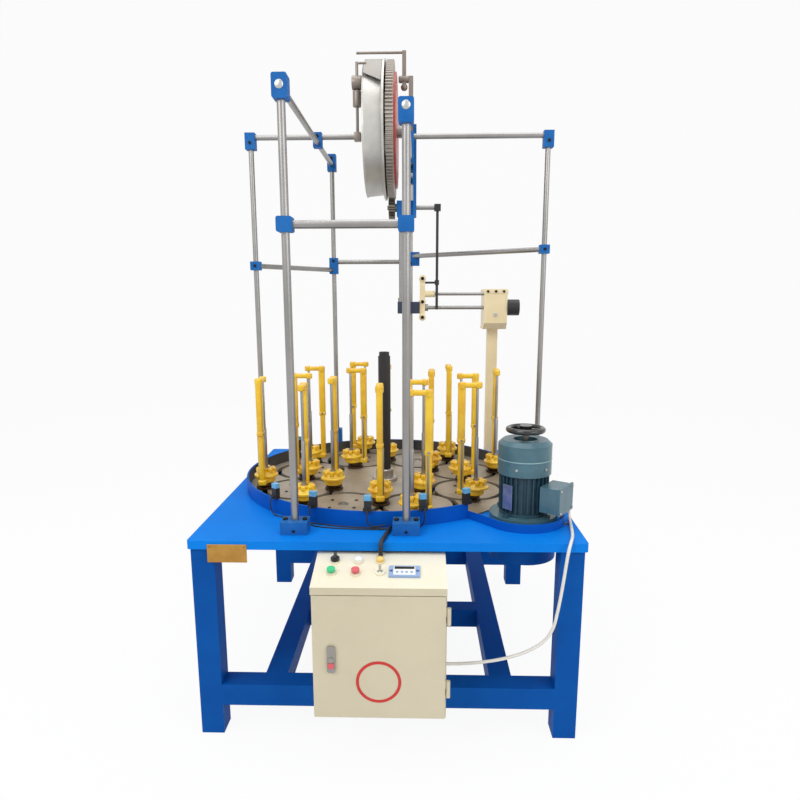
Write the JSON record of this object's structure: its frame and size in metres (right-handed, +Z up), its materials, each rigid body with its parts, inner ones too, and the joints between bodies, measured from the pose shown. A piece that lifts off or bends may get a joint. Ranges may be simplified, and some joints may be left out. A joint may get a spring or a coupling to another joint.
{
  "type": "rope braiding machine",
  "caption": "Floor-standing rope braider: ring of geared carriers on a blue table, core tube, flange motor, rod frame with take-up wheel and a control cabinet.",
  "frame": {"origin": "on the floor, under the middle of the machine's overall box, cables left out", "axes": "+X to the operator's right, +Y from the cabinet towards the back, +Z up"},
  "size_m": [1.1, 1.25, 2.102],
  "materials": {
    "frame_blue": "gloss paint",
    "table_blue": "gloss paint",
    "clamp_blue": "gloss paint",
    "motor_teal": "satin paint",
    "deck_steel": "ground steel, oiled",
    "gear_steel": "machined",
    "rod_chrome": "polished",
    "carrier_yellow": "gloss paint",
    "tube_black": "satin paint",
    "collar_steel": "knurled",
    "drum_metal": "cast and turned",
    "gearbox_cream": "gloss paint",
    "cabinet_cream": "satin paint",
    "black_plastic": "satin",
    "black_gloss": "gloss",
    "sensor_blue": "gloss",
    "counter_blue": "gloss",
    "button_green": "gloss",
    "button_red": "gloss",
    "fitting_metal": "satin",
    "guide_metal": "satin paint",
    "cable_cream": "matt",
    "cable_black": "matt"
  },
  "bodies": {
    "frame": {"base_frame": "frame_blue", "table_top": "table_blue", "ring_wall": "frame_blue", "gear_pan": "frame_blue", "track_plate": "deck_steel", "gear_studs": "deck_steel", "core_tube": "tube_black", "core_collar": "collar_steel", "main_posts": "rod_chrome", "post_blocks": "clamp_blue", "frame_rods": "rod_chrome", "rod_clamps": "clamp_blue", "take_up_bracket": "clamp_blue", "motor_frame": "motor_teal", "fan_cowl": "motor_teal", "terminal_box": "motor_teal", "gearbox_column": "gearbox_cream", "gearbox_case": "gearbox_cream", "shaft_hanger": "gearbox_cream", "hanger_rod": "tube_black", "rope_guide": "guide_metal", "control_cabinet": "cabinet_cream", "panel_fittings": "fitting_metal", "counter_meter": "counter_blue", "door_hinges": "cabinet_cream", "sensor_posts": "black_plastic", "sensor_heads": "sensor_blue", "motor_cable": "cable_cream", "sensor_loom": "cable_black"},
    "horn_1": {"horn_gear_1": "gear_steel", "carriers_1": "carrier_yellow"},
    "horn_2": {"horn_gear_2": "gear_steel", "carriers_2": "carrier_yellow"},
    "horn_3": {"horn_gear_3": "gear_steel", "carriers_3": "carrier_yellow"},
    "horn_4": {"horn_gear_4": "gear_steel", "carriers_4": "carrier_yellow"},
    "horn_5": {"horn_gear_5": "gear_steel", "carriers_5": "carrier_yellow"},
    "horn_6": {"horn_gear_6": "gear_steel", "carriers_6": "carrier_yellow"},
    "horn_7": {"horn_gear_7": "gear_steel", "carriers_7": "carrier_yellow"},
    "horn_8": {"horn_gear_8": "gear_steel", "carriers_8": "carrier_yellow"},
    "take_up": {"take_up_wheel": "drum_metal", "wheel_gear": "drum_metal"},
    "pinion": {"wheel_pinion": "gear_steel"},
    "upright": {"upright_shaft": "rod_chrome"},
    "drive": {"drive_shaft": "rod_chrome"},
    "motor": {"motor_shaft": "gear_steel", "handwheel": "black_gloss"},
    "idler": {"idler_gear": "gear_steel"},
    "door": {"cabinet_door": "cabinet_cream"},
    "lock": {"door_lock": "fitting_metal"},
    "start": {"start_button": "button_green"},
    "stop": {"stop_button": "button_red"},
    "selector": {"selector_knob": "black_plastic"},
    "toggle": {"toggle_lever": "fitting_metal"},
    "lever": {"pressure_lever": "guide_metal"}
  },
  "joints": [
    {"name": "horn_1_turn", "type": "hinge", "parent": "frame", "child": "horn_1", "pos_m": [0.25671, 0.012, 0.57], "axis": [0, 0, 1], "continuous": true},
    {"name": "horn_2_turn", "type": "hinge", "parent": "frame", "child": "horn_2", "pos_m": [0.25671, 0.252, 0.57], "axis": [0, 0, 1], "continuous": true},
    {"name": "horn_3_turn", "type": "hinge", "parent": "frame", "child": "horn_3", "pos_m": [0.087, 0.42171, 0.57], "axis": [0, 0, 1], "continuous": true},
    {"name": "horn_4_turn", "type": "hinge", "parent": "frame", "child": "horn_4", "pos_m": [-0.153, 0.42171, 0.57], "axis": [0, 0, 1], "continuous": true},
    {"name": "horn_5_turn", "type": "hinge", "parent": "frame", "child": "horn_5", "pos_m": [-0.32271, 0.252, 0.57], "axis": [0, 0, 1], "continuous": true},
    {"name": "horn_6_turn", "type": "hinge", "parent": "frame", "child": "horn_6", "pos_m": [-0.32271, 0.012, 0.57], "axis": [0, 0, 1], "continuous": true},
    {"name": "horn_7_turn", "type": "hinge", "parent": "frame", "child": "horn_7", "pos_m": [-0.153, -0.15771, 0.57], "axis": [0, 0, 1], "continuous": true},
    {"name": "horn_8_turn", "type": "hinge", "parent": "frame", "child": "horn_8", "pos_m": [0.087, -0.15771, 0.57], "axis": [0, 0, 1], "continuous": true},
    {"name": "idler_turn", "type": "hinge", "parent": "frame", "child": "idler", "pos_m": [0.34773, -0.17057, 0.56], "axis": [0, 0, 1], "continuous": true},
    {"name": "motor_turn", "type": "hinge", "parent": "frame", "child": "motor", "pos_m": [0.40127, -0.27796, 0.7], "axis": [0, 0, 1], "continuous": true},
    {"name": "drive_turn", "type": "hinge", "parent": "frame", "child": "drive", "pos_m": [0.25, 0.367, 1.212], "axis": [1, 0, 0], "continuous": true},
    {"name": "upright_turn", "type": "hinge", "parent": "frame", "child": "upright", "pos_m": [0.023, 0.367, 1.4], "axis": [0, 0, 1], "continuous": true},
    {"name": "pinion_turn", "type": "hinge", "parent": "frame", "child": "pinion", "pos_m": [0, 0.367, 1.577], "axis": [1, 0, 0], "continuous": true},
    {"name": "take_up_turn", "type": "hinge", "parent": "frame", "child": "take_up", "pos_m": [0, 0.367, 1.841], "axis": [1, 0, 0], "continuous": true},
    {"name": "door_swing", "type": "hinge", "parent": "frame", "child": "door", "pos_m": [0.167, -0.608, 0.34], "axis": [0, 0, 1], "range_deg": [0, 110]},
    {"name": "lock_turn", "type": "hinge", "parent": "door", "child": "lock", "pos_m": [-0.137, -0.615, 0.331], "axis": [0, 1, 0], "range_deg": [0, 90]},
    {"name": "start_press", "type": "slide", "parent": "frame", "child": "start", "axis": [0, 0.2392, -0.971], "range_m": [0, 0.0035], "stiffness_N_per_m": 400},
    {"name": "stop_press", "type": "slide", "parent": "frame", "child": "stop", "axis": [0, 0.2392, -0.971], "range_m": [0, 0.0035], "stiffness_N_per_m": 400},
    {"name": "selector_turn", "type": "hinge", "parent": "frame", "child": "selector", "pos_m": [-0.135, -0.50999, 0.56211], "axis": [0, -0.2392, 0.971], "range_deg": [-45, 45]},
    {"name": "toggle_tilt", "type": "hinge", "parent": "frame", "child": "toggle", "pos_m": [-0.012, -0.55468, 0.54286], "axis": [1, 0, 0], "range_deg": [-12, 12]},
    {"name": "lever_swing", "type": "hinge", "parent": "frame", "child": "lever", "pos_m": [0.03, 0.339, 2.009], "axis": [1, 0, 0], "range_deg": [-30, 30]}
  ],
  "couplings": [
    {"joint": "horn_2_turn", "follows": "horn_1_turn", "ratio": -1},
    {"joint": "horn_3_turn", "follows": "horn_1_turn", "ratio": 1},
    {"joint": "horn_4_turn", "follows": "horn_1_turn", "ratio": -1},
    {"joint": "horn_5_turn", "follows": "horn_1_turn", "ratio": 1},
    {"joint": "horn_6_turn", "follows": "horn_1_turn", "ratio": -1},
    {"joint": "horn_7_turn", "follows": "horn_1_turn", "ratio": 1},
    {"joint": "horn_8_turn", "follows": "horn_1_turn", "ratio": -1},
    {"joint": "idler_turn", "follows": "horn_1_turn", "ratio": -1.4286},
    {"joint": "motor_turn", "follows": "horn_1_turn", "ratio": 3.3333},
    {"joint": "drive_turn", "follows": "horn_1_turn", "ratio": 1},
    {"joint": "upright_turn", "follows": "horn_1_turn", "ratio": 1},
    {"joint": "pinion_turn", "follows": "horn_1_turn", "ratio": 1},
    {"joint": "take_up_turn", "follows": "horn_1_turn", "ratio": -0.1579}
  ]
}
